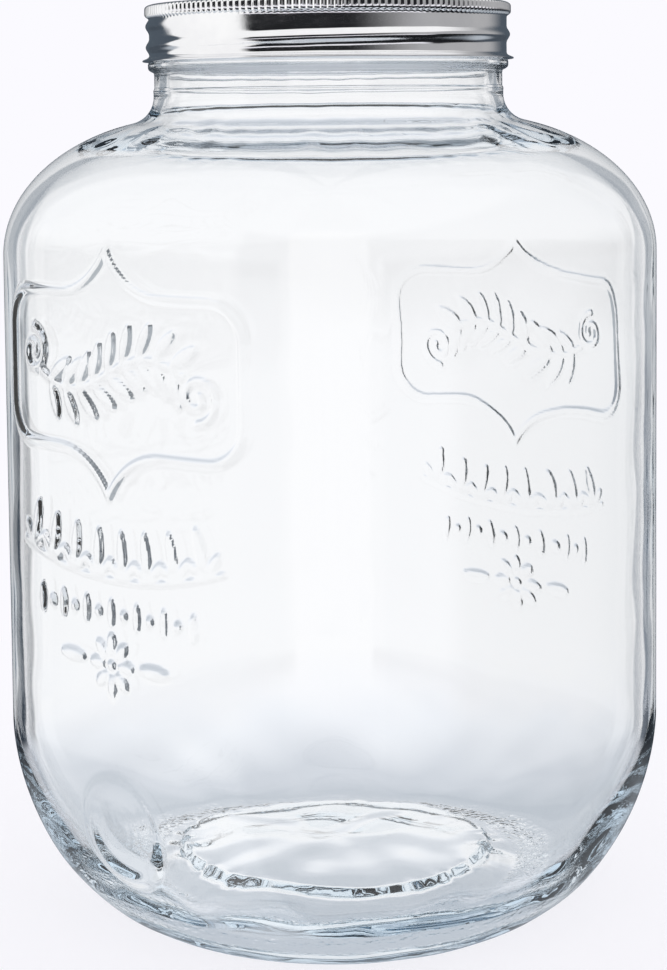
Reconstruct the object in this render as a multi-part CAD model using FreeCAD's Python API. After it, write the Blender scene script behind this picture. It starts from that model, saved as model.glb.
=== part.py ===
import FreeCAD, Part
import math
import os

# A large square-shouldered storage jar of clear pressed glass, closed by a one-piece screw lid.
# Millimetres, +Z up, origin on the surface it stands on, under the middle of the mouth.
# The embossed front face looks along -Y, the embossed back face along +Y.

Vector = FreeCAD.Vector

# ---- Glass body ----
total_height = 296.7
face_half_width = 96.8      # middle axis to the middle of a side face
squareness = 2.9            # power of the section curve: 2 is a circle, larger is squarer
wall_thickness = 4.2
floor_thickness = 9.0
foot_inset = 27.0           # from a side face in to the outer edge of the ring it stands on
foot_width = 15.8
punt_depth = 3.2
heel_height = 61.3
heel_reach_power = 1.69     # 2 is an elliptical heel, smaller leaves the foot more suddenly
heel_rise_power = 1.78
shoulder_drop = 53.5        # from the mould's joint line down to the top of the straight wall
shoulder_rise = 45.0
shoulder_inset = 11.6       # the shoulder's curve would be level this far inside the neck

# ---- Neck and mouth ----
neck_radius = 57.2
neck_wall = 3.8
neck_sweep = 6.9            # how far out from the neck its fillet starts
seam_step = 0.3             # the neck is this much narrower above the mould's joint line
seam_drop = 9.3             # from the lid's edge down to that line
bead_stand = 2.0            # how far the bead under the lid stands out from the neck
bead_height = 3.4
bead_round = 0.9
finish_stand = 0.4          # the threaded lip, wider than the neck
lip_round = 1.2

# ---- Embossing ----
plaque_half_width = 54.5
plaque_half_height = 25.0   # to its level edge, without the points
plaque_corner = 13.0
point_half_width = 24.0
point_arc = 26.6
front_plaque_drop = 32.3    # from the top of the straight wall down to its middle
back_plaque_drop = 36.6
ridge_width = 2.4
ridge_height = 1.0

# ---- Round pressing on the heel, where a tap would be fitted ----
pad_radius = 16.5
pad_height = 41.2
pad_stand = 0.8             # how far its flat stands in front of the wall above it
pad_round = 1.6

# ---- Lid ----
finish_clearance = 0.5      # between the plain glass under the lid and the lid's skirt
lid_sheet = 0.6
lid_height = 18.5
lid_gap = 0.2               # between the lid and the glass that it touches
knurl_stand = 1.4           # the grooved rim, out from the skirt
knurl_height = 4.3
knurl_depth = 0.6
knurl_count = 176
knurl_round = 1.2
flange_stand = 2.3          # the edge, out from the skirt
flange_height = 1.5

# ---- Screw thread, rolled in the lid and moulded on the glass ----
thread_pitch = 6.8
thread_turns = 1.4
thread_rise = 2.6           # its start, above the lid's edge
thread_start = 117.0        # degrees round from +X
lid_thread_depth = 0.9      # how far the rolled thread stands out of the skirt
glass_thread_radius = 1.0
glass_thread_stand = 0.8
thread_end_gap = 5.0        # degrees between the ends of the two threads

# ---- How finely the curves are followed ----
section_points = 40
heel_steps = 9
wall_steps = 4
shoulder_steps = 8
fillet_steps = 4

# ---- Heights, counted down from the top of the lid ----
lid_bottom = total_height - lid_height
bead_top = lid_bottom - lid_gap
bead_bottom = bead_top - bead_height
lip_top = total_height - lid_sheet - lid_gap
seam_height = lid_bottom - seam_drop
shoulder_height = seam_height - shoulder_drop

# ---- Radii, counted out from the neck, and in from the side faces ----
bead_radius = neck_radius + bead_stand
finish_radius = neck_radius + finish_stand
mouth_radius = neck_radius - neck_wall
lid_inside = finish_radius + finish_clearance
lid_radius = lid_inside + lid_sheet
knurl_radius = lid_radius + knurl_stand
flange_radius = lid_radius + flange_stand
base_radius = face_half_width - foot_inset
punt_radius = base_radius - foot_width


def face_radius(angle, half_width):
    """How far the rounded square reaches from the axis in one direction."""
    across = abs(math.cos(angle)) ** squareness
    along = abs(math.sin(angle)) ** squareness
    return half_width / (across + along) ** (1.0 / squareness)


def corner_radius(half_width):
    """The same, towards a corner."""
    return face_radius(math.pi / 4.0, half_width)


def section(height, core, share, half_width):
    """A closed curve between a circle of radius core (share 0) and the rounded square (share 1)."""
    points = []
    for step in range(section_points):
        angle = 2.0 * math.pi * step / section_points
        radius = core + (face_radius(angle, half_width) - core) * share
        points.append(Vector(radius * math.cos(angle), radius * math.sin(angle), height))
    curve = Part.BSplineCurve()
    curve.interpolate(Points=points, PeriodicFlag=True)
    return Part.Wire([curve.toShape()])


def heel_sections(foot, foot_height, half_width):
    """The round foot widening into the rounded square of the wall."""
    wires = []
    rise = heel_height - foot_height
    for step in range(heel_steps):
        turn = 0.5 * math.pi * step / heel_steps
        share = math.sin(turn) ** (2.0 / heel_reach_power)
        height = foot_height + rise * (1.0 - math.cos(turn) ** (2.0 / heel_rise_power))
        wires.append(section(height, foot, share, half_width))
    return wires


def wall_sections(half_width):
    """The upright wall."""
    wires = []
    for step in range(wall_steps):
        height = heel_height + (shoulder_height - heel_height) * step / wall_steps
        wires.append(section(height, 0.0, 1.0, half_width))
    return wires


def neck_at(inset):
    """Radius of the neck's outside for inset 0, and of its inside for the wall thickness."""
    return neck_radius + seam_step - inset * neck_wall / wall_thickness


def shoulder_sections(half_width, inset):
    """The shoulder, an elliptical curve that flattens and then turns up into the neck."""
    neck = neck_at(inset)
    corner = corner_radius(half_width)
    sweep = neck_sweep + inset
    start = neck_radius - shoulder_inset - inset
    rise = shoulder_rise - inset
    reach = corner - start
    last_turn = math.acos((neck + sweep - start) / reach)
    wires = []
    for step in range(shoulder_steps + 1):
        turn = last_turn * step / shoulder_steps
        radius = start + reach * math.cos(turn)
        height = shoulder_height + rise * math.sin(turn)
        wires.append(section(height, neck, (radius - neck) / (corner - neck), half_width))
    fall = math.atan2(rise * math.cos(last_turn), reach * math.sin(last_turn))
    fillet_radius = sweep / (1.0 - math.sin(fall))
    for step in range(1, fillet_steps + 1):
        turn = fall + (0.5 * math.pi - fall) * step / fillet_steps
        radius = neck + fillet_radius * (1.0 - math.sin(turn))
        level = height + fillet_radius * (math.cos(fall) - math.cos(turn))
        wires.append(section(level, neck, (radius - neck) / (corner - neck), half_width))
    return wires


def body_solid(inset, foot_height):
    """The body out to the moulded surface, moved inwards by inset, from its foot to the seam."""
    half_width = face_half_width - inset
    wires = heel_sections(base_radius - inset, foot_height, half_width)
    wires += wall_sections(half_width)
    wires += shoulder_sections(half_width, inset)
    wires.append(section(seam_height, neck_at(inset), 0.0, half_width))
    return Part.makeLoft(wires, True, False)


def turned(points):
    """A solid of revolution about the jar's axis, from (radius, height) corners."""
    corners = [Vector(radius, 0.0, height) for radius, height in points]
    wire = Part.makePolygon(corners + corners[:1])
    return Part.Face(wire).revolve(Vector(0, 0, 0), Vector(0, 0, 1), 360)


def plaque_outline(height, inset):
    """The bracket-shaped plaque: level edges, round corners and a point above and below."""
    side = plaque_half_width - inset
    edge = plaque_half_height - inset
    corner = plaque_corner - inset
    arc = point_arc + inset
    arc_middle = plaque_half_height + point_arc
    tip = arc_middle - math.sqrt(arc ** 2 - point_half_width ** 2)
    lean = 0.5 * math.asin(point_half_width / arc)
    bend_across = point_half_width - arc * math.sin(lean)
    bend_up = arc_middle - arc * math.cos(lean)
    diagonal = corner * (1.0 - math.sqrt(0.5))
    level = 0.0

    def at(across, up):
        return Vector(across, level, height + up)

    edges = []
    for up in (1.0, -1.0):
        for side_way in (1.0, -1.0):
            edges.append(Part.Arc(
                at(0.0, up * tip),
                at(side_way * bend_across, up * bend_up),
                at(side_way * point_half_width, up * edge)).toShape())
            edges.append(Part.LineSegment(
                at(side_way * point_half_width, up * edge),
                at(side_way * (side - corner), up * edge)).toShape())
            edges.append(Part.Arc(
                at(side_way * (side - corner), up * edge),
                at(side_way * (side - diagonal), up * (edge - diagonal)),
                at(side_way * side, up * (edge - corner))).toShape())
    for side_way in (1.0, -1.0):
        edges.append(Part.LineSegment(
            at(side_way * side, edge - corner),
            at(side_way * side, corner - edge)).toShape())
    return Part.Wire(Part.__sortEdges__(edges))


def plaque_ridge(height, facing):
    """The raised line of the plaque on one face; facing is -1 for the front, 1 for the back."""
    outer = Part.Face(plaque_outline(height, 0.0))
    inner = Part.Face(plaque_outline(height, ridge_width))
    outline = outer.cut(inner)
    start = face_half_width / 2.0
    depth = face_half_width
    outline.translate(Vector(0, facing * start, 0))
    prism = outline.extrude(Vector(0, facing * depth, 0))
    return prism.common(body_solid(-ridge_height, 0.0))


def pad_solid():
    """A short upright disc on the heel, its flat nearly in line with the wall above it."""
    front = face_half_width + pad_stand
    start = Vector(0, -face_half_width / 2.0, pad_height)
    disc = Part.makeCylinder(pad_radius, front - face_half_width / 2.0, start, Vector(0, -1, 0))
    rim = [edge for edge in disc.Edges if abs(edge.BoundBox.YMin + front) < 0.01
           and abs(edge.BoundBox.YMax + front) < 0.01]
    return disc.makeFillet(pad_round, rim)


def thread(radius, half_width, end_gap):
    """A right-handed helical bar of round section, shortened by end_gap degrees at each end."""
    end_rise = thread_pitch * end_gap / 360.0
    helix = Part.makeHelix(thread_pitch, thread_pitch * thread_turns - 2.0 * end_rise, radius)
    profile = Part.Wire([Part.makeCircle(half_width, Vector(radius, 0, 0), Vector(0, 1, 0))])
    bar = Part.Wire(helix.Edges).makePipeShell([profile], True, True)
    bar.rotate(Vector(0, 0, 0), Vector(0, 0, 1), thread_start + end_gap)
    bar.translate(Vector(0, 0, lid_bottom + thread_rise + end_rise))
    return bar


def punt_solid():
    """The shallow dome pressed up into the underside."""
    sphere_radius = (punt_radius ** 2 + punt_depth ** 2) / (2.0 * punt_depth)
    return Part.makeSphere(sphere_radius, Vector(0, 0, punt_depth - sphere_radius))


def finish_solid():
    """The neck above the seam, the bead under the lid and the threaded lip, not yet hollow."""
    foot = seam_height - neck_wall
    blank = turned([
        (0.0, foot), (neck_radius, foot),
        (neck_radius, bead_bottom), (bead_radius - bead_round, bead_bottom + bead_round / 2.0),
        (bead_radius, bead_bottom + 1.5 * bead_round), (bead_radius, bead_top - bead_round / 2.0),
        (bead_radius - bead_round / 2.0, bead_top), (finish_radius, bead_top),
        (finish_radius, lip_top - lip_round), (finish_radius - lip_round, lip_top),
        (0.0, lip_top)])
    middle = finish_radius + glass_thread_stand - glass_thread_radius
    return blank.fuse(thread(middle, glass_thread_radius, thread_end_gap))


def jar_solid():
    """The glass, in one piece."""
    outside = body_solid(0.0, 0.0)
    for drop, facing in ((front_plaque_drop, -1), (back_plaque_drop, 1)):
        outside = outside.fuse(plaque_ridge(shoulder_height - drop, facing))
    outside = outside.fuse(pad_solid())
    outside = outside.fuse(finish_solid())
    inside = body_solid(wall_thickness, floor_thickness)
    mouth = Part.makeCylinder(mouth_radius, total_height, Vector(0, 0, seam_height - neck_wall / 2.0))
    return outside.cut([inside, mouth, punt_solid()]).Solids[0]


def knurl_band():
    """The rounded rim of the lid with its fine upright grooves."""
    low = total_height - knurl_height
    root = lid_radius - lid_sheet / 2.0
    ring = turned([
        (root, low), (knurl_radius - knurl_round, low), (knurl_radius, low + knurl_round / 2.0),
        (knurl_radius, total_height - knurl_round),
        (knurl_radius - knurl_round / 3.0, total_height - knurl_round / 3.0),
        (knurl_radius - knurl_round, total_height), (root, total_height)])
    corners = []
    for step in range(2 * knurl_count + 1):
        angle = math.pi * step / knurl_count
        radius = knurl_radius if step % 2 == 0 else knurl_radius - knurl_depth
        corners.append(Vector(radius * math.cos(angle), radius * math.sin(angle), low - 1.0))
    toothed = Part.Face(Part.makePolygon(corners)).extrude(Vector(0, 0, knurl_height + 2.0))
    return ring.common(toothed)


def lid_solid():
    """The pressed metal lid, in one piece: top, knurled rim, rolled thread and flange."""
    flange_top = lid_bottom + flange_height
    edge = lid_bottom + lid_sheet / 2.0
    shell = turned([
        (0.0, total_height), (lid_radius, total_height), (lid_radius, flange_top),
        (flange_radius, edge), (flange_radius, lid_bottom),
        (flange_radius - lid_sheet, lid_bottom), (lid_inside, flange_top - lid_sheet / 2.0),
        (lid_inside, total_height - lid_sheet), (0.0, total_height - lid_sheet)])
    shell = shell.fuse(thread(lid_inside, lid_sheet + lid_thread_depth, 0.0))
    hollow = Part.makeCylinder(lid_inside, lid_height - lid_sheet, Vector(0, 0, lid_bottom))
    shell = shell.cut([hollow, thread(lid_inside, lid_thread_depth, 0.0)])
    return shell.fuse(knurl_band()).Solids[0]


os.makedirs("parts", exist_ok=True)
for name, solid in (("jar", jar_solid()), ("lid", lid_solid())):
    print(name, solid.isValid(), len(solid.Solids), round(solid.Volume))
    solid.exportStep("parts/%s.step" % name)
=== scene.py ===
import math
import random

import bpy
import numpy as np
from mathutils import Matrix


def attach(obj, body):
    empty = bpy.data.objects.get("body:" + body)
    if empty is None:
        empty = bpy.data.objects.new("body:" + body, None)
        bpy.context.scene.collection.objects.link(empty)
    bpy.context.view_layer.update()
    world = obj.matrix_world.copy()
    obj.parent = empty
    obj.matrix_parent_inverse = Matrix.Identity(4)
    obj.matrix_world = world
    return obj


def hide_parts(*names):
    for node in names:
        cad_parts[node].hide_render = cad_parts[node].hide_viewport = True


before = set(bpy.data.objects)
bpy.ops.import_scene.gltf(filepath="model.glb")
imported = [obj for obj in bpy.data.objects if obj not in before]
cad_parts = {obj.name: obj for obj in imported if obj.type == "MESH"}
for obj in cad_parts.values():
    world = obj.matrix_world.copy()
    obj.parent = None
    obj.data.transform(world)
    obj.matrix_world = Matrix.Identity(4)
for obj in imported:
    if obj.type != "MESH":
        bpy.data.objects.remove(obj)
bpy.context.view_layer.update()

# ---------------------------------------------------------------- sizes, mm, as in the part's source
TOP = 296.7
HALF = 96.8
POWER = 2.9
WALL = 4.2
FLOOR = 9.0
FLOOR_CROWN = 5.2
FOOT = 69.8
PUNT = 54.0
PUNT_DEPTH = 3.2
PUNT_LIFT = 0.9
HEEL = 61.3
REACH_POWER = 1.69
RISE_POWER = 1.78
NECK = 57.2
NECK_WALL = 3.8
SWEEP = 6.9
MOUTH = NECK - NECK_WALL
SEAM_STEP = 0.3
LID_HEIGHT = 18.5
LID_BOTTOM = TOP - LID_HEIGHT
LIP = TOP - 0.8
BEAD_TOP = LID_BOTTOM - 0.2
BEAD_LOW = BEAD_TOP - 3.4
THREAD_START = math.radians(117)
THREAD_PITCH = 6.8
FLANGE = 61.0
PANEL_DEPTH = 0.55
SHEET = 0.6
KNURLS = 176
SEAM = LID_BOTTOM - 9.3
SHOULDER = SEAM - 53.5
RISE = 45.0
INSET = 11.6
FRONT_PLAQUE = SHOULDER - 32.3
BACK_PLAQUE = SHOULDER - 36.6
PAD_Z = 41.2
PAD_R = 16.5
PAD_FACE = 95.1
PAD_LEAN = 0.14
MM = 0.001


# ---------------------------------------------------------------- shape helpers
def face_radius(phi, half):
    """Radius of the rounded-square plan in the direction phi."""
    return half / (np.abs(np.cos(phi)) ** POWER + np.abs(np.sin(phi)) ** POWER) ** (1 / POWER)


def smooth(x):
    """An eased step from 0 to 1."""
    x = np.clip(x, 0.0, 1.0)
    return x * x * (3 - 2 * x)


def body_rows(inset, foot_z, steps):
    """(core, share, z) for the heel, wall, shoulder and neck fillet; steps holds the four row spacings."""
    half = HALF - inset
    corner = float(face_radius(math.pi / 4, half))
    foot = FOOT - inset
    heel, wall, shoulder, fillet = steps
    rows = []
    # heel, sampled evenly along its length
    t = np.linspace(0, math.pi / 2, 900)
    share = np.sin(t) ** (2 / REACH_POWER)
    z = foot_z + (HEEL - foot_z) * (1 - np.cos(t) ** (2 / RISE_POWER))
    r = foot + (half - foot) * share
    s = np.concatenate([[0], np.cumsum(np.hypot(np.diff(r), np.diff(z)))])
    want = np.linspace(0, s[-1], int(s[-1] / heel) + 1)
    for a, b in zip(np.interp(want, s, share), np.interp(want, s, z)):
        rows.append((foot, float(a), float(b)))
    # upright wall
    levels = [HEEL]
    while levels[-1] < SHOULDER - 1e-6:
        levels.append(levels[-1] + wall(levels[-1]))
    levels = np.array(levels)
    levels = HEEL + (levels - HEEL) * (SHOULDER - HEEL) / (levels[-1] - HEEL)
    for level in levels[1:-1]:
        rows.append((0.0, 1.0, float(level)))
    # shoulder, sampled evenly along its length
    neck = NECK + SEAM_STEP - inset * NECK_WALL / WALL
    sweep = SWEEP + inset
    start = NECK - INSET - inset
    rise = RISE - inset
    reach = corner - start
    last = math.acos((neck + sweep - start) / reach)
    t = np.linspace(0, last, 600)
    r = start + reach * np.cos(t)
    z = SHOULDER + rise * np.sin(t)
    s = np.concatenate([[0], np.cumsum(np.hypot(np.diff(r), np.diff(z)))])
    want = np.linspace(0, s[-1], int(s[-1] / shoulder) + 1)
    for a, b in zip(np.interp(want, s, r), np.interp(want, s, z)):
        rows.append((neck, (float(a) - neck) / (corner - neck), float(b)))
    # hollow curve into the neck
    fall = math.atan2(rise * math.cos(last), reach * math.sin(last))
    bend = sweep / (1 - math.sin(fall))
    level = rows[-1][2]
    for k in range(1, fillet + 1):
        turn = fall + (math.pi / 2 - fall) * k / fillet
        radius = neck + bend * (1 - math.sin(turn))
        climb = bend * (math.cos(fall) - math.cos(turn))
        rows.append((neck, (radius - neck) / (corner - neck), level + climb))
    return rows


def waves(seed, count, k_range, q_range):
    """Seeded waves round and up the glass: (amplitude, turns round, waves per mm up, phase)."""
    r = random.Random(seed)
    out = []
    for _ in range(count):
        k = r.randint(*k_range)
        q = r.uniform(*q_range) * r.choice((-1, 1))
        out.append((r.uniform(0.5, 1.0) / math.sqrt(count), k, q, r.uniform(0, 2 * math.pi)))
    return out


def wave_sum(ws, phi, z):
    """Height of the waves at each angle and level."""
    total = np.zeros(np.broadcast(phi, z).shape)
    for a, k, q, p in ws:
        total += a * np.sin(k * phi + 2 * math.pi * q * z + p)
    return total


def plane_waves(seed, count, shortest, longest, x, y):
    """Seeded ripples that run straight across in all directions."""
    r = random.Random(seed)
    total = np.zeros(x.shape)
    for _ in range(count):
        a = r.uniform(0, math.pi)
        q = 2 * math.pi / r.uniform(shortest, longest)
        along = q * (x * math.cos(a) + y * math.sin(a))
        total += r.uniform(0.5, 1.0) * np.sin(along + r.uniform(0, 2 * math.pi))
    return total / math.sqrt(count)


def profile_normals(rows, half):
    """Outward (radial, upward) direction of each row, for a path that runs up the outside."""
    r = np.array([core + (half - core) * share for core, share, _ in rows])
    z = np.array([row[2] for row in rows])
    dr = np.gradient(r)
    dz = np.gradient(z)
    n = np.hypot(dr, dz) + 1e-9
    return dz / n, -dr / n


def grid(rows, phi, half):
    """Radius and height of every point: rows up the glass, columns round it."""
    core = np.array([row[0] for row in rows])[:, None]
    share = np.array([row[1] for row in rows])[:, None]
    z = np.array([row[2] for row in rows])[:, None]
    r = core + (face_radius(phi, half)[None, :] - core) * share
    return r, np.broadcast_to(z, r.shape).copy()


# ---------------------------------------------------------------- embossing: heights over one face
def stroke(U, V, points, width, height, power=2.0):
    """A raised line with a rounded crown along a polyline."""
    best = np.full(U.shape, 1e9)
    pts = np.array(points, float)
    for a, b in zip(pts[:-1], pts[1:]):
        d = b - a
        t = np.clip(((U - a[0]) * d[0] + (V - a[1]) * d[1]) / (d @ d + 1e-12), 0, 1)
        best = np.minimum(best, np.hypot(U - a[0] - t * d[0], V - a[1] - t * d[1]))
    return height * np.clip(1 - (best / width) ** power, 0, 1) ** 1.6


def leaf(U, V, at, angle, length, width, height):
    """A pointed leaf with a rounded back and a vein along its middle."""
    c, s = math.cos(angle), math.sin(angle)
    a = ((U - at[0]) * c + (V - at[1]) * s) / length
    b = (-(U - at[0]) * s + (V - at[1]) * c)
    half = width * np.sqrt(np.clip(np.sin(np.pi * np.clip(a, 0, 1)), 0, 1)) + 1e-6
    inside = (a > 0) & (a < 1)
    h = height * np.clip(1 - (np.abs(b) / half) ** 2, 0, 1) ** 1.1
    vein = 1 - 0.35 * np.exp(-(b / 0.6) ** 2) * smooth((1 - np.clip(a, 0, 1)) * 4)
    return np.where(inside, h * vein, 0)


def dome(U, V, at, radius, height):
    """A round bead."""
    d = np.hypot(U - at[0], V - at[1])
    return height * np.clip(1 - (d / radius) ** 2, 0, 1)


def plaque_line(half_width=53.3, half_height=23.8, corner=11.8, point=24.0, arc=27.8):
    """Centre line of the bracket-shaped plaque, all round."""
    quarter = []
    middle = half_height + arc
    lean = math.asin(point / arc)
    for k in range(13):
        a = lean * (1 - k / 12)
        quarter.append((point - arc * math.sin(a), middle - arc * math.cos(a)))
    quarter[-1] = (point, half_height)
    for k in range(9):
        a = math.pi / 2 * (1 - k / 8)
        quarter.append((half_width - corner + corner * math.cos(a),
                        half_height - corner + corner * math.sin(a)))
    quarter.append((half_width, 0.0))
    ring = quarter + [(x, -y) for x, y in quarter[::-1][1:]]
    ring += [(-x, y) for x, y in ring[::-1][1:]]
    return ring


def curl(at, start, turns, r0, r1, hand, count=26):
    """Points of a flat spiral."""
    out = []
    for k in range(count + 1):
        t = k / count
        r = r0 + (r1 - r0) * t
        a = start + hand * turns * 2 * math.pi * t
        out.append((at[0] + r * math.cos(a), at[1] + r * math.sin(a)))
    return out


def sprig(U, V, scale):
    """A leafy branch with a curl at each end, for the middle of a plaque."""
    h = np.zeros(U.shape)
    stem = [(scale * u, scale * 5.5 * math.sin(u / 36 * math.pi)) for u in np.linspace(-33, 33, 45)]
    h = np.maximum(h, stroke(U, V, stem, 1.7, 0.75))
    for k in range(9):
        u = -28 + 7 * k
        v = 5.5 * math.sin(u / 36 * math.pi)
        slope = math.atan(5.5 * math.pi / 36 * math.cos(u / 36 * math.pi))
        for side in (1, -1):
            turn = slope + side * math.radians(52)
            size = 13.0 - 0.25 * abs(k - 4)
            at = (scale * u, scale * v + side * 0.6)
            h = np.maximum(h, leaf(U, V, at, turn, scale * size, scale * 2.7, 0.9))
    for side in (1, -1):
        points = curl((side * 38, side * -4.6), -side * math.pi / 2, 1.35, 7.6, 1.4, side)
        h = np.maximum(h, stroke(U, V, [(scale * x, scale * y) for x, y in points], 1.7, 0.85))
    return h


def frieze(U, V, centre, half, sag, count, size):
    """A swag of upright three-lobed leaves on a line."""
    line = [(u, centre - size * 0.5 + sag * (u / half) ** 2) for u in np.linspace(-half, half, 31)]
    h = stroke(U, V, line, 1.3, 0.6)
    for k in range(count):
        u = half * (2 * (k + 0.5) / count - 1)
        v = centre - size * 0.46 + sag * (u / half) ** 2
        up = math.pi / 2 + math.atan(2 * sag * u / half ** 2)
        h = np.maximum(h, leaf(U, V, (u, v), up, size, size * 0.17, 0.92))
        for side in (1, -1):
            lobe = up - side * math.radians(46)
            h = np.maximum(h, leaf(U, V, (u + side * 0.4, v), lobe, size * 0.56, size * 0.13, 0.85))
    return h


def rosette(U, V, at, radius, petals):
    """A flower of pointed petals round a bead."""
    h = dome(U, V, at, radius * 0.26, 0.9)
    for k in range(petals):
        a = 2 * math.pi * k / petals
        foot = (at[0] + radius * 0.28 * math.cos(a), at[1] + radius * 0.28 * math.sin(a))
        h = np.maximum(h, leaf(U, V, foot, a, radius * 0.78, radius * 0.27, 0.85))
    return h


def face_relief(U, V, middle, scale):
    """Everything embossed on a label face; V is height, middle the plaque's own height."""
    h = stroke(U, V - middle, plaque_line(), 2.0, 0.85, 2.0)
    h = np.maximum(h, 1.05 * sprig(U, V - middle, scale))
    h = np.maximum(h, frieze(U, V, middle - 55.5, 46 * scale, 7.0, 8, 15.0 * scale))
    for k in range(-6, 7):
        at = (k * 5.9 * scale, middle - 73.5)
        if k % 2:
            h = np.maximum(h, dome(U, V, at, 2.1 * scale, 0.85))
        else:
            foot = (at[0], at[1] - 4.6 * scale)
            h = np.maximum(h, leaf(U, V, foot, math.pi / 2, 9.2 * scale, 2.0 * scale, 0.85))
    h = np.maximum(h, rosette(U, V, (0, middle - 89.5), 9.5 * scale, 8))
    for side in (1, -1):
        h = np.maximum(h, leaf(U, V, (side * 12.5 * scale, middle - 89), 0 if side > 0 else math.pi,
                               13 * scale, 2.6 * scale, 0.75))
    return h


# ---------------------------------------------------------------- the jar
def spread_angles(count, dense, wide):
    """Angles round the jar, closer together on the two embossed faces."""
    phi = np.linspace(0, 2 * math.pi, 20001)
    r = face_radius(phi, HALF)
    x, y = r * np.cos(phi), r * np.sin(phi)
    ds = np.hypot(np.diff(x), np.diff(y))
    mx = 0.5 * (np.abs(x[1:]) + np.abs(x[:-1]))
    on_face = smooth((62 - mx) / 6) * (np.abs(0.5 * (y[1:] + y[:-1])) > 50)
    weight = ds * (1 / wide + (1 / dense - 1 / wide) * on_face)
    s = np.concatenate([[0], np.cumsum(weight)])
    return np.interp(np.linspace(0, s[-1], count + 1)[:-1], s, phi)


def close_mesh(name, rings, flip):
    """One closed surface from rings of points that run from one axis point to the other.
    Rings may differ in count where two of them meet."""
    verts, faces, starts = [], [], []
    total = 0
    for ring in rings:
        starts.append(total)
        verts.append(ring)
        total += len(ring)
    for a, b, sa, sb in zip(rings[:-1], rings[1:], starts[:-1], starts[1:]):
        na, nb = len(a), len(b)
        if na == 1:
            k = np.arange(nb)
            faces.append(np.stack([np.full(nb, sa), sb + (k + 1) % nb, sb + k, sb + k], 1))
        elif nb == 1:
            k = np.arange(na)
            faces.append(np.stack([sa + k, sa + (k + 1) % na, np.full(na, sb), np.full(na, sb)], 1))
        elif na == nb:
            k = np.arange(na)
            m = (k + 1) % na
            faces.append(np.stack([sa + k, sa + m, sb + m, sb + k], 1))
        else:
            pa = np.unwrap(np.arctan2(a[:, 1], a[:, 0]))
            pb = np.unwrap(np.arctan2(b[:, 1], b[:, 0]))
            pa, pb = pa - pa[0], pb - pb[0]
            i = j = 0
            out = []
            while i < na or j < nb:
                next_a = pa[i + 1] if i + 1 < na else 2 * math.pi
                next_b = pb[j + 1] if j + 1 < nb else 2 * math.pi
                if j >= nb or (i < na and next_a <= next_b):
                    out.append((sa + i % na, sa + (i + 1) % na, sb + j % nb, sb + j % nb))
                    i += 1
                else:
                    out.append((sa + i % na, sb + (j + 1) % nb, sb + j % nb, sb + j % nb))
                    j += 1
            faces.append(np.array(out))
    verts = np.concatenate(verts) * MM
    polys = []
    for block in faces:
        for f in block.tolist():
            f = f[:3] if f[2] == f[3] else f
            polys.append(f[::-1] if flip else f)
    mesh = bpy.data.meshes.new(name)
    mesh.from_pydata(verts.tolist(), [], polys)
    mesh.polygons.foreach_set("use_smooth", [True] * len(mesh.polygons))
    mesh.update()
    obj = bpy.data.objects.new(name, mesh)
    bpy.context.scene.collection.objects.link(obj)
    return obj


def xyz(r, z, phi):
    """Points of a grid from radius, height and angle."""
    return np.stack([r * np.cos(phi), r * np.sin(phi), np.broadcast_to(z, r.shape)], -1)


N_OUT = 548
N_IN = 256
fine = 0.9


def wall_step(level):
    """Row spacing of the outside, finer where the glass is embossed."""
    return fine if level > 84 else 1.4


def outer_profile():
    """Rows of the outside from the punt up to the lip, and how many lie under the foot."""
    punt = (4, 10, 16, 22, 28, 34, 40, 45, 49, 52, 53.4)
    rows = [(r, 0.0, PUNT_DEPTH * (1 - (r / PUNT) ** 2) + PUNT_LIFT) for r in punt]
    rows += [(r, 0.0, z) for r, z in ((54.2, 0.75), (55.4, 0.6), (57.5, 0.36), (60.0, 0.14),
                                      (62.5, 0.02), (64.5, 0.0), (66.5, 0.0), (68.4, 0.0))]
    under = len(rows)
    rows += body_rows(0.0, 0.0, (1.3, wall_step, 1.25, 10))
    neck = [(0.34, SEAM - 0.6), (0.40, SEAM - 0.2), (0.30, SEAM + 0.15), (0.06, SEAM + 0.5),
            (0, SEAM + 1.0), (0, SEAM + 2.5)]
    bead = [(0, BEAD_LOW - 0.8), (0.15, BEAD_LOW), (1.05, BEAD_LOW + 0.45), (1.7, BEAD_LOW + 0.9),
            (2.0, BEAD_LOW + 1.5), (2.0, BEAD_TOP - 0.6), (1.8, BEAD_TOP - 0.15), (1.5, BEAD_TOP),
            (0.55, BEAD_TOP + 0.1)]
    finish = [(0.4, BEAD_TOP + 0.9 + k * 1.1) for k in range(15)]
    lip = [(0.3, LIP - 0.6), (0, LIP - 0.2), (-0.6, LIP)]
    rows += [(NECK + stand, 0.0, z) for stand, z in neck + bead + finish + lip]
    return rows, under


def inner_profile():
    """Rows of the inside from the lip down to the middle of the floor."""
    rows = [(MOUTH + 1.6, 0.0, LIP), (MOUTH + 0.8, 0.0, LIP - 0.1), (MOUTH + 0.2, 0.0, LIP - 0.45),
            (MOUTH, 0.0, LIP - 1.1)]
    rows += [(MOUTH, 0.0, float(level)) for level in np.linspace(LIP - 4, SEAM + 1.0, 7)]
    rows += body_rows(WALL, FLOOR, (2.2, lambda level: 1.5, 1.8, 9))[::-1]
    for q in (0.97, 0.93, 0.88, 0.84, 0.81, 0.785, 0.76, 0.72, 0.66, 0.57, 0.46, 0.34, 0.22, 0.10):
        lift = 3.6 * smooth((0.83 - q) / 0.05) + 1.6 * (1 - (q / 0.8) ** 2) * (q < 0.8)
        rows.append(((FOOT - WALL) * q, 0.0, FLOOR + lift))
    return rows


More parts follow.
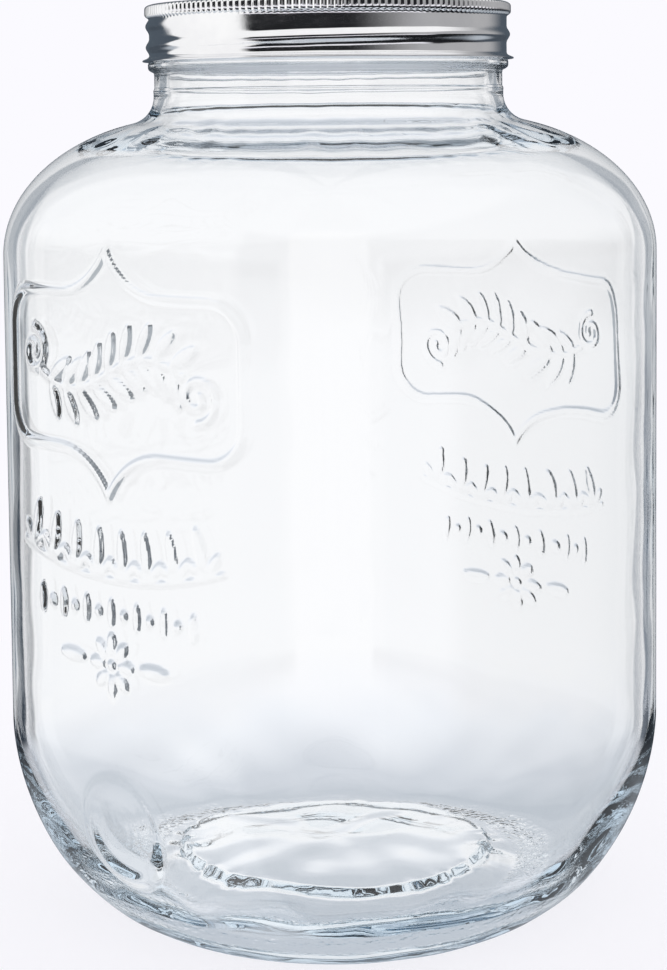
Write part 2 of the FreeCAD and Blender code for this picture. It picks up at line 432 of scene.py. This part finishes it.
def skin_waves(phi, z, zz, under):
    """Unevenness of the outside, strongest at the heel and none under the foot or above the seam."""
    amount = 0.030 + 0.10 * np.exp(-((zz - 10) / 18) ** 2)
    amount[:under] = 0.0
    amount[zz > SEAM - 3] = 0.0
    return wave_sum(waves(11, 14, (2, 22), (0.004, 0.03)), phi[None, :], z) * amount[:, None]


def mould_joint(phi, zz):
    """A faint upright joint of the mould at two corners."""
    line = 0.0
    for corner in (math.pi / 4, math.pi / 4 + math.pi):
        off = np.abs((phi - corner + math.pi) % (2 * math.pi) - math.pi) * 107
        band = smooth((zz - 26) / 8) * smooth((SEAM - 2 - zz) / 6)
        line = line + 0.10 * np.exp(-(off[None, :] / 0.9) ** 2) * band[:, None]
    return line


def glass_thread(phi, z, zz):
    """The screw thread of the glass under the lid."""
    thread = 0.0
    start = THREAD_START + math.radians(5)
    on_finish = ((zz > BEAD_TOP + 0.5) * (zz < LIP - 0.9))[:, None]
    for turn in range(3):
        ang = (phi - start) % (2 * math.pi) + 2 * math.pi * turn
        level = LID_BOTTOM + 2.7 + THREAD_PITCH * ang / (2 * math.pi)
        fade = smooth(ang / 0.35) * smooth((1.36 * 2 * math.pi - ang) / 0.35)
        thread = thread + 0.75 * np.exp(-((z - level[None, :]) / 0.75) ** 2) * fade[None, :] * on_finish
    return thread


def emboss_faces(P, zz):
    """Press the ornament out of the front and back faces, and return one row on the wall."""
    X, Y, Z = P[..., 0], P[..., 1], P[..., 2]
    idx = np.where((zz > 60) & (zz < SHOULDER + 12))[0]
    for facing, middle, scale in ((-1, FRONT_PLAQUE, 1.0), (1, BACK_PLAQUE, 0.94)):
        cols = np.where((np.abs(X[idx[0]]) < 60) & (np.sign(Y[idx[0]]) == facing))[0]
        sub = np.ix_(idx, cols)
        U = X[sub] * (1 if facing < 0 else -1)
        Y[sub] += facing * face_relief(U, Z[sub], middle, scale)
    return idx[0]


def press_pad(P, zz, wall_row):
    """The round flat pressing on the front of the heel, with a raised rim."""
    X, Y, Z = P[..., 0], P[..., 1], P[..., 2]
    cols = np.where((np.abs(X[wall_row]) < 26) & (Y[wall_row] < 0))[0]
    sub = np.ix_(np.where((zz > 14) & (zz < 66))[0], cols)
    rho = np.hypot(X[sub], Z[sub] - PAD_Z)
    face = -(PAD_FACE + PAD_LEAN * (Z[sub] - PAD_Z))
    face = face + 0.9 * smooth((rho - (PAD_R - 3.0)) / 3.0) ** 2
    rings = 0.035 * np.cos(2 * math.pi * rho / 3.4)
    face = face + rings * smooth((PAD_R - 2.5 - rho) / 3) * smooth(rho / 4)
    mask = smooth((PAD_R + 3.6 - rho) / 4.6)
    Y[sub] = Y[sub] + (np.minimum(face, Y[sub]) - Y[sub]) * mask
    Y[sub] -= 0.5 * np.exp(-((rho - (PAD_R - 0.2)) / 1.15) ** 2)


def inner_waves(psi, zi, zin, inner, centre):
    """Unevenness of the inside, thick glass at the root of the neck and the ragged step of the floor."""
    around = psi[None, :]
    broad = 0.03 + 0.07 * smooth((235 - zin) / 20) + 0.34 * np.exp(-((zin - 12) / 22) ** 2)
    fine_part = 0.006 + 0.012 * smooth((230 - zin) / 20) + 0.12 * np.exp(-((zin - 10) / 20) ** 2)
    fine_part = fine_part + 0.035 * np.exp(-((zin - 234) / 9) ** 2)
    fade = smooth((SEAM + 6 - zin) / 8) * smooth((centre - 34) / 24)
    d = wave_sum(waves(21, 16, (1, 11), (0.003, 0.022)), around, zi) * (broad * fade)[:, None]
    d = d + wave_sum(waves(22, 18, (5, 26), (0.012, 0.05)), around, zi) * (fine_part * fade)[:, None]
    # thick glass at the root of the neck
    core = np.array([row[0] for row in inner])
    at_corner = core + (107.8 - core) * np.array([row[1] for row in inner])
    root = smooth((86 - at_corner) / 22) * smooth((at_corner - 54) / 8) * (zin > 200)
    d = d + (1.25 + 0.26 * wave_sum(waves(23, 14, (9, 44), (0.0, 0.03)), around, zi)) * root[:, None]
    # ripples on the inside of the neck
    ripple = wave_sum(waves(24, 12, (14, 40), (0.02, 0.09)), around, zi)
    d = d + 0.05 * ripple * np.exp(-((zin - (SEAM + 4.5)) / 3.5) ** 2)[:, None]
    # a ragged step where the floor turns down to the heel
    near = np.exp(-((centre - 53) / 2.6) ** 2) * (zin < 20)
    return d + wave_sum(waves(31, 12, (9, 60), (0.0, 0.001)), around, 0 * zi) * (0.55 * near)[:, None]


def build_jar():
    phi = spread_angles(N_OUT, 0.78, 1.5)
    rows, under = outer_profile()
    zz = np.array([row[2] for row in rows])
    r, z = grid(rows, phi, HALF)
    nr, nz = profile_normals(rows, HALF)
    d = skin_waves(phi, z, zz, under)
    r = r + d * nr[:, None]
    z = z + d * nz[:, None]
    r = r + mould_joint(phi, zz)
    r = r + glass_thread(phi, z, zz)
    P = xyz(r, z, phi)
    press_pad(P, zz, emboss_faces(P, zz))

    psi = np.linspace(0, 2 * math.pi, N_IN, endpoint=False)
    inner = inner_profile()
    zin = np.array([row[2] for row in inner])
    centre = np.array([core + (HALF - core) * share for core, share, _ in inner])
    ri, zi = grid(inner, psi, HALF - WALL)
    nri, nzi = profile_normals(inner, HALF - WALL)
    di = inner_waves(psi, zi, zin, inner, centre)
    ri = ri + di * nri[:, None]
    zi = zi + di * nzi[:, None]
    Q = xyz(ri, zi, psi)
    on_floor = (smooth((56 - centre) / 14) * (zin < 20))[:, None]
    Q[..., 2] += 0.50 * plane_waves(32, 14, 19, 48, Q[..., 0], Q[..., 1]) * on_floor

    under_axis = np.array([[0.0, 0.0, PUNT_DEPTH + PUNT_LIFT]])
    floor_axis = np.array([[0.0, 0.0, FLOOR + FLOOR_CROWN]])
    return close_mesh("glass_jar", [under_axis, *P, *Q, floor_axis], False)


def build_lid():
    seg = 1056
    phi = np.linspace(0, 2 * math.pi, seg, endpoint=False)
    # (radius, depth below the top, share of the knurl, share of the thread)
    rows = [(12, 0.55, 0, 0), (26, 0.55, 0, 0), (38, 0.55, 0, 0), (45, 0.55, 0, 0), (48.0, 0.54, 0, 0),
            (49.0, 0.46, 0, 0), (50.0, 0.12, 0, 0), (50.8, 0.02, 0, 0), (54.5, 0.0, 0, 0), (57.4, 0.0, 0, 0),
            (58.5, 0.08, 0, 0), (59.3, 0.32, 0.15, 0), (59.85, 0.72, 0.6, 0), (60.1, 1.15, 1, 0),
            (60.1, 2.1, 1, 0), (60.1, 3.1, 1, 0), (59.95, 3.6, 0.9, 0), (59.5, 4.05, 0.6, 0),
            (58.95, 4.4, 0.25, 0), (58.72, 4.8, 0, 0.4)]
    rows += [(58.7, 5.25 + k * 0.53, 0, 1) for k in range(22)]
    rows += [(58.78, 16.75, 0, 0.6), (59.05, 17.1, 0, 0.25), (59.6, 17.45, 0, 0), (60.3, 17.72, 0, 0),
             (60.85, 17.95, 0, 0), (61.0, 18.2, 0, 0), (60.9, 18.42, 0, 0), (60.6, 18.5, 0, 0),
             (60.1, 18.4, 0, 0), (59.2, 18.05, 0, 0), (58.5, 17.5, 0, 0), (58.15, 16.8, 0, 0),
             (58.1, 12, 0, 0), (58.1, 6, 0, 0), (58.1, 1.4, 0, 0), (57.8, 0.8, 0, 0), (57.2, 0.62, 0, 0),
             (51.0, 0.62, 0, 0), (49.2, 1.1, 0, 0), (30, 1.15, 0, 0), (12, 1.15, 0, 0)]
    base = np.array(rows, float)
    r = np.repeat(base[:, :1], seg, 1)
    z = np.repeat(TOP - base[:, 1:2], seg, 1)
    knurl = 0.5 - 0.5 * np.cos(KNURLS * phi)
    r -= 0.62 * base[:, 2:3] * (knurl ** 0.8)[None, :]
    for turn in range(3):
        ang = (phi - THREAD_START) % (2 * math.pi) + 2 * math.pi * turn
        level = LID_BOTTOM + 2.6 + THREAD_PITCH * ang / (2 * math.pi)
        fade = smooth(ang / 0.5) * smooth((1.4 * 2 * math.pi - ang) / 0.5)
        dz = np.abs(z - level[None, :])
        bump = np.where(dz < 2.9, 0.5 + 0.5 * np.cos(math.pi * dz / 2.9), 0.0)
        r += 1.15 * bump ** 1.15 * fade[None, :] * base[:, 3:4]
    dents = waves(41, 16, (3, 26), (0.01, 0.09))
    outside = np.array([1.0 if (k > 8 and k < len(rows) - 12) else 0.0 for k in range(len(rows))])
    r += wave_sum(dents, phi[None, :], z) * 0.045 * outside[:, None]
    r = np.minimum(r, FLANGE)
    ripples = waves(42, 10, (1, 6), (0.0, 0.01))
    z[:9] += wave_sum(ripples, phi[None, :], r[:9]) * 0.035 - 0.03
    P = xyz(r, z, phi)
    top_axis = np.array([[0, 0, TOP - PANEL_DEPTH]])
    under_axis = np.array([[0, 0, TOP - PANEL_DEPTH - SHEET]])
    return close_mesh("screw_lid", [top_axis, *P, under_axis], True)


# ---------------------------------------------------------------- materials
class Nodes:
    def __init__(self, tree):
        self.tree = tree
        tree.nodes.clear()

    def add(self, kind, props=None, **inputs):
        node = self.tree.nodes.new(kind)
        for key, value in (props or {}).items():
            setattr(node, key, value)
        for key, value in inputs.items():
            name = key.replace("_", " ")
            socket = node.inputs[int(key[1:])] if key[0] == "i" and key[1:].isdigit() else node.inputs[name]
            self.put(socket, value)
        return node

    def put(self, socket, value):
        if isinstance(value, bpy.types.NodeSocket):
            self.tree.links.new(value, socket)
        elif isinstance(value, bpy.types.Node):
            self.tree.links.new(value.outputs[0], socket)
        else:
            socket.default_value = value

    def math(self, op, a, b=0.0, clamp=False):
        return self.add("ShaderNodeMath", {"operation": op, "use_clamp": clamp}, i0=a, i1=b).outputs[0]

    def ramp(self, value, a, b, c=0.0, d=1.0, soft=True):
        kind = "SMOOTHSTEP" if soft else "LINEAR"
        return self.add("ShaderNodeMapRange", {"interpolation_type": kind, "clamp": True},
                        Value=value, From_Min=a, From_Max=b, To_Min=c, To_Max=d).outputs[0]

    def mix(self, fac, a, b):
        node = self.add("ShaderNodeMix", {"data_type": "RGBA"}, i0=fac)
        self.put(node.inputs[6], a)
        self.put(node.inputs[7], b)
        return node.outputs[2]


def glass_material():
    m = bpy.data.materials.new("clear_glass")
    m.use_nodes = True
    g = Nodes(m.node_tree)
    out = g.add("ShaderNodeOutputMaterial")
    where = g.add("ShaderNodeTexCoord").outputs["Object"]
    split = g.add("ShaderNodeSeparateXYZ", i0=where)
    low = g.ramp(split.outputs[2], 0.0030, 0.0008)
    off_axis = g.add("ShaderNodeVectorMath", {"operation": "LENGTH"}, i0=where).outputs["Value"]
    ring = g.math("MULTIPLY", low, g.ramp(off_axis, 0.0595, 0.063))
    grain = g.add("ShaderNodeTexNoise", Vector=where, Scale=420.0, Detail=1.0).outputs[0]
    depth = g.add("ShaderNodeMath", {"operation": "MULTIPLY_ADD"}, i0=ring, i1=0.0006, i2=0.000002)
    height = g.math("MULTIPLY", grain, depth.outputs[0])
    bump = g.add("ShaderNodeBump", Strength=1.0, Distance=1.0, Height=height)
    smear = g.add("ShaderNodeTexNoise", Vector=where, Scale=11.0, Detail=2.0, Roughness=0.6).outputs[0]
    rough = g.ramp(smear, 0.5, 0.8, 0.0, 0.03)
    body = g.add("ShaderNodeBsdfPrincipled", Base_Color=(0.995, 1.0, 1.0, 1), Roughness=rough, IOR=1.5,
                 Transmission_Weight=1.0, Normal=bump.outputs[0])
    clear = g.add("ShaderNodeBsdfTransparent", Color=(0.93, 0.955, 0.96, 1))
    shadow = g.add("ShaderNodeLightPath").outputs["Is Shadow Ray"]
    mixed = g.add("ShaderNodeMixShader", i0=shadow, i1=body.outputs[0], i2=clear.outputs[0])
    g.put(out.inputs["Surface"], mixed.outputs[0])
    tint = g.add("ShaderNodeVolumeAbsorption", Color=(0.62, 0.80, 0.92, 1), Density=4.5)
    g.put(out.inputs["Volume"], tint.outputs[0])
    return m


def metal_material():
    m = bpy.data.materials.new("bright_metal")
    m.use_nodes = True
    g = Nodes(m.node_tree)
    out = g.add("ShaderNodeOutputMaterial")
    where = g.add("ShaderNodeTexCoord").outputs["Object"]
    stretched = g.add("ShaderNodeMapping", Vector=where, Scale=(14.0, 14.0, 900.0)).outputs[0]
    brushed = g.add("ShaderNodeTexNoise", Vector=stretched, Scale=1.0, Detail=4.0, Roughness=0.6).outputs[0]
    cloud = g.add("ShaderNodeTexNoise", Vector=where, Scale=38.0, Detail=5.0, Roughness=0.62).outputs[0]
    speck = g.add("ShaderNodeTexNoise", Vector=where, Scale=900.0, Detail=2.0).outputs[0]
    colour = g.mix(g.ramp(cloud, 0.35, 0.7), (0.88, 0.88, 0.895, 1), (0.96, 0.96, 0.965, 1))
    rough = g.math("ADD", g.ramp(cloud, 0.3, 0.75, 0.08, 0.14), g.ramp(speck, 0.55, 0.75, 0.0, 0.05))
    # the sunk panel on top is duller than the band
    split = g.add("ShaderNodeSeparateXYZ", i0=where)
    flat = g.add("ShaderNodeCombineXYZ", i0=split.outputs[0], i1=split.outputs[1])
    from_axis = g.add("ShaderNodeVectorMath", {"operation": "LENGTH"}, i0=flat).outputs["Value"]
    on_top = g.ramp(split.outputs[2], TOP * MM - 0.0014, TOP * MM - 0.0010)
    panel = g.math("MULTIPLY", g.ramp(from_axis, 0.0505, 0.0490), on_top)
    rough = g.math("ADD", rough, g.math("MULTIPLY", panel, 0.34))
    height = g.math("ADD", g.math("MULTIPLY", brushed, 0.000012), g.math("MULTIPLY", speck, 0.000006))
    height = g.math("ADD", height, g.math("MULTIPLY", cloud, 0.00004))
    bump = g.add("ShaderNodeBump", Strength=1.0, Distance=1.0, Height=height)
    body = g.add("ShaderNodeBsdfPrincipled", Base_Color=colour, Metallic=1.0, Roughness=rough,
                 Normal=bump.outputs[0])
    g.put(out.inputs["Surface"], body.outputs[0])
    return m


# ---------------------------------------------------------------- pieces
jar = build_jar()
jar.data.materials.append(glass_material())
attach(jar, "root")
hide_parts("jar")

lid = build_lid()
lid.data.materials.append(metal_material())
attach(lid, "root")
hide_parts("lid")

# ---------------------------------------------------------------- camera
AZ = math.radians(44.5)
PITCH = math.radians(4.6)
ROLL = 0.0105
DIST, EYE = 0.750, 0.2627
FOCAL = 2265.1 / 970

fwd = np.array([-math.sin(AZ) * math.cos(PITCH), math.cos(AZ) * math.cos(PITCH), -math.sin(PITCH)])
right = np.array([math.cos(AZ), math.sin(AZ), 0.0])
up = np.cross(right, fwd)
tilt_right = right * math.cos(ROLL) - up * math.sin(ROLL)
tilt_up = up * math.cos(ROLL) + right * math.sin(ROLL)
camera_data = bpy.data.cameras.new("camera")
camera = bpy.data.objects.new("camera", camera_data)
bpy.context.scene.collection.objects.link(camera)
turn = Matrix((
    (tilt_right[0], tilt_up[0], -fwd[0], DIST * math.sin(AZ)),
    (tilt_right[1], tilt_up[1], -fwd[1], -DIST * math.cos(AZ)),
    (tilt_right[2], tilt_up[2], -fwd[2], EYE),
    (0, 0, 0, 1)))
camera.matrix_world = turn
camera_data.sensor_width = 36.0
camera_data.lens = 36.0 * FOCAL
camera_data.shift_x = 0.0031
camera_data.shift_y = -0.2008
camera_data.clip_start = 0.01
bpy.context.scene.camera = camera

# ---------------------------------------------------------------- light and surroundings
PAPER = (0.965, 0.956, 1.0, 1)
scene = bpy.context.scene
scene.view_settings.view_transform = "Standard"
scene.cycles.max_bounces = 32
scene.cycles.transmission_bounces = 28
scene.cycles.glossy_bounces = 20
world = bpy.data.worlds.new("studio")
scene.world = world
world.use_nodes = True
w = Nodes(world.node_tree)
out = w.add("ShaderNodeOutputWorld")
direction = w.add("ShaderNodeTexCoord").outputs["Generated"]
axis = w.add("ShaderNodeSeparateXYZ", i0=direction)
azimuth = w.math("ARCTAN2", axis.outputs[1], axis.outputs[0])
height = axis.outputs[2]
# white cards with dark gaps between them, seen through the glass
ahead = math.atan2(fwd[1], fwd[0])
turned = w.math("MODULO", w.math("ADD", azimuth, -ahead + 5 * math.pi), 2 * math.pi)
apart = w.math("ABSOLUTE", w.math("SUBTRACT", turned, math.pi))


def between(value, a, b, edge):
    return w.math("MULTIPLY", w.ramp(value, math.radians(a - edge), math.radians(a + edge)),
                  w.ramp(value, math.radians(b + edge), math.radians(b - edge)))


thin_gap = between(apart, 22, 37, 1.5)
wide_gap = between(apart, 52.5, 150, 2.5)
card = w.mix(w.ramp(height, -0.24, -0.28, soft=False), (1.0, 0.99, 1.0, 1), (0.975, 0.972, 1.0, 1))
card = w.mix(w.ramp(height, -0.28, -0.31, soft=False), card, (0.90, 0.915, 0.96, 1))
card = w.mix(w.ramp(height, -0.31, -0.38, soft=False), card, (0.66, 0.69, 0.75, 1))
card = w.mix(w.ramp(height, -0.40, -0.46, soft=False), card, (0.55, 0.59, 0.65, 1))
dark = w.mix(w.ramp(height, -0.12, -0.06), (0.66, 0.69, 0.72, 1), (0.24, 0.275, 0.31, 1))
dark = w.mix(w.ramp(height, -0.035, -0.008), dark, (0.05, 0.07, 0.09, 1))
dark = w.mix(w.ramp(height, 0.05, 0.25), dark, (0.93, 0.94, 0.97, 1))
dark = w.mix(w.ramp(height, -0.22, -0.30), dark, (0.72, 0.75, 0.80, 1))
far_side = w.ramp(turned, math.pi - 0.1, math.pi + 0.1)
pale = w.mix(far_side, (0.24, 0.27, 0.32, 1), (0.030, 0.045, 0.065, 1))
pale = w.mix(w.ramp(height, -0.15, -0.09), pale, (0.42, 0.45, 0.49, 1))
pale = w.mix(w.ramp(height, -0.31, -0.38), pale, (0.80, 0.82, 0.88, 1))
level_strip = w.math("MULTIPLY", w.ramp(height, 0.12, 0.0, 0.0, 0.65), w.ramp(height, -0.12, -0.06))
dark = w.mix(w.math("MULTIPLY", far_side, level_strip), dark, (0.02, 0.03, 0.04, 1))
through = w.mix(thin_gap, card, pale)
through = w.mix(wide_gap, through, dark)
# what the metal and the glass mirror
toward = math.atan2(-fwd[1], -fwd[0])
off = w.math("MODULO", w.math("ADD", azimuth, -toward + 5 * math.pi), 2 * math.pi)
off = w.math("SUBTRACT", off, math.pi)
left_card = w.math("MULTIPLY", w.ramp(off, math.radians(-50), math.radians(-58)),
                   w.ramp(off, math.radians(-126), math.radians(-119)))
right_grey = w.math("MULTIPLY", w.ramp(off, math.radians(12), math.radians(66)),
                    w.ramp(off, math.radians(150), math.radians(120)))
behind = w.ramp(w.math("ABSOLUTE", off), math.radians(95), math.radians(125))
mirror = w.mix(behind, (0.012, 0.013, 0.015, 1), (0.075, 0.095, 0.12, 1))
mirror = w.mix(right_grey, mirror, (0.42, 0.42, 0.43, 1))
under = w.mix(behind, (0.010, 0.011, 0.013, 1), (0.06, 0.075, 0.095, 1))
mirror = w.mix(w.ramp(height, -0.05, -0.16), mirror, under)
faint = w.math("MULTIPLY", w.ramp(height, -0.07, -0.10), w.ramp(height, -0.30, -0.26))
faint = w.math("MULTIPLY", faint, w.ramp(w.math("ABSOLUTE", off), math.radians(75), math.radians(60)))
mirror = w.mix(faint, mirror, (0.95, 0.94, 1.0, 1))
low_back = w.math("MULTIPLY", behind, w.ramp(height, -0.30, -0.42))
mirror = w.mix(low_back, mirror, (0.45, 0.49, 0.54, 1))
mirror = w.mix(left_card, mirror, (1.0, 1.0, 1.0, 1))
open_top = w.math("MULTIPLY", w.ramp(height, 0.48, 0.60),
                  w.math("SUBTRACT", 1.0, w.math("MULTIPLY", behind, 0.8)))
mirror = w.mix(open_top, mirror, (1.0, 1.0, 1.0, 1))
ray = w.add("ShaderNodeLightPath")
soft_light = w.add("ShaderNodeBackground", Color=(1.0, 1.0, 1.0, 1), Strength=0.80)
mirror_light = w.add("ShaderNodeBackground", Color=mirror, Strength=1.0)
through_light = w.add("ShaderNodeBackground", Color=through, Strength=1.0)
paper_light = w.add("ShaderNodeBackground", Color=PAPER, Strength=1.0)
shade = w.add("ShaderNodeMixShader", i0=ray.outputs["Is Glossy Ray"], i1=soft_light.outputs[0],
              i2=mirror_light.outputs[0])
shade = w.add("ShaderNodeMixShader", i0=ray.outputs["Is Transmission Ray"], i1=shade.outputs[0],
              i2=through_light.outputs[0])
shade = w.add("ShaderNodeMixShader", i0=ray.outputs["Is Camera Ray"], i1=shade.outputs[0],
              i2=paper_light.outputs[0])
w.put(out.inputs[0], shade.outputs[0])


def soft_box(name, place, size, energy, mirrored):
    data = bpy.data.lights.new(name, "AREA")
    data.shape = "RECTANGLE"
    data.size, data.size_y = size
    data.energy = energy
    lamp = bpy.data.objects.new(name, data)
    bpy.context.scene.collection.objects.link(lamp)
    back = np.array(place) - np.array([0.0, 0.0, 0.15])
    back = back / np.linalg.norm(back)
    side = np.cross([0.0, 0.0, 1.0], back)
    side = side / (np.linalg.norm(side) + 1e-9) if np.linalg.norm(side) > 1e-6 else np.array([1.0, 0, 0])
    top = np.cross(back, side)
    lamp.matrix_world = Matrix((
        (side[0], top[0], back[0], place[0]), (side[1], top[1], back[1], place[1]),
        (side[2], top[2], back[2], place[2]), (0, 0, 0, 1)))
    lamp.visible_transmission = False
    lamp.visible_glossy = mirrored
    lamp.visible_camera = False
    return lamp


soft_box("overhead", (0.15, 0.10, 1.3), (1.0, 1.0), 3.2, False)
left = -right * 1.1 - fwd * 0.25
soft_box("side", (left[0], left[1], 0.55), (0.5, 0.8), 1.2, False)

# the table: pale, and lost in the background at its rim
TABLE_R, TABLE_SIDES = 0.55, 96
mesh = bpy.data.meshes.new("table")
steps = [2 * math.pi * k / TABLE_SIDES for k in range(TABLE_SIDES)]
ring = [(TABLE_R * math.cos(a), TABLE_R * math.sin(a), 0.0) for a in steps]
mesh.from_pydata(ring, [], [list(range(TABLE_SIDES))])
table = bpy.data.objects.new("table", mesh)
scene.collection.objects.link(table)
m = bpy.data.materials.new("table")
m.use_nodes = True
t = Nodes(m.node_tree)
t_out = t.add("ShaderNodeOutputMaterial")
spot = t.add("ShaderNodeTexCoord").outputs["Object"]
reach = t.add("ShaderNodeVectorMath", {"operation": "LENGTH"}, i0=spot).outputs["Value"]
far = t.ramp(reach, 0.10, 0.40, 0.80, 1.0)
paper = t.add("ShaderNodeEmission", Color=PAPER, Strength=1.0)
matte = t.add("ShaderNodeBsdfDiffuse", Color=(0.95, 0.945, 0.98, 1))
path = t.add("ShaderNodeLightPath")
fade = t.math("MULTIPLY", path.outputs["Is Camera Ray"], far)
blend = t.add("ShaderNodeMixShader", i0=fade, i1=matte.outputs[0], i2=paper.outputs[0])
t.put(t_out.inputs["Surface"], blend.outputs[0])
mesh.materials.append(m)
table.location.z = -0.0002
table.visible_transmission = False
table.visible_glossy = False
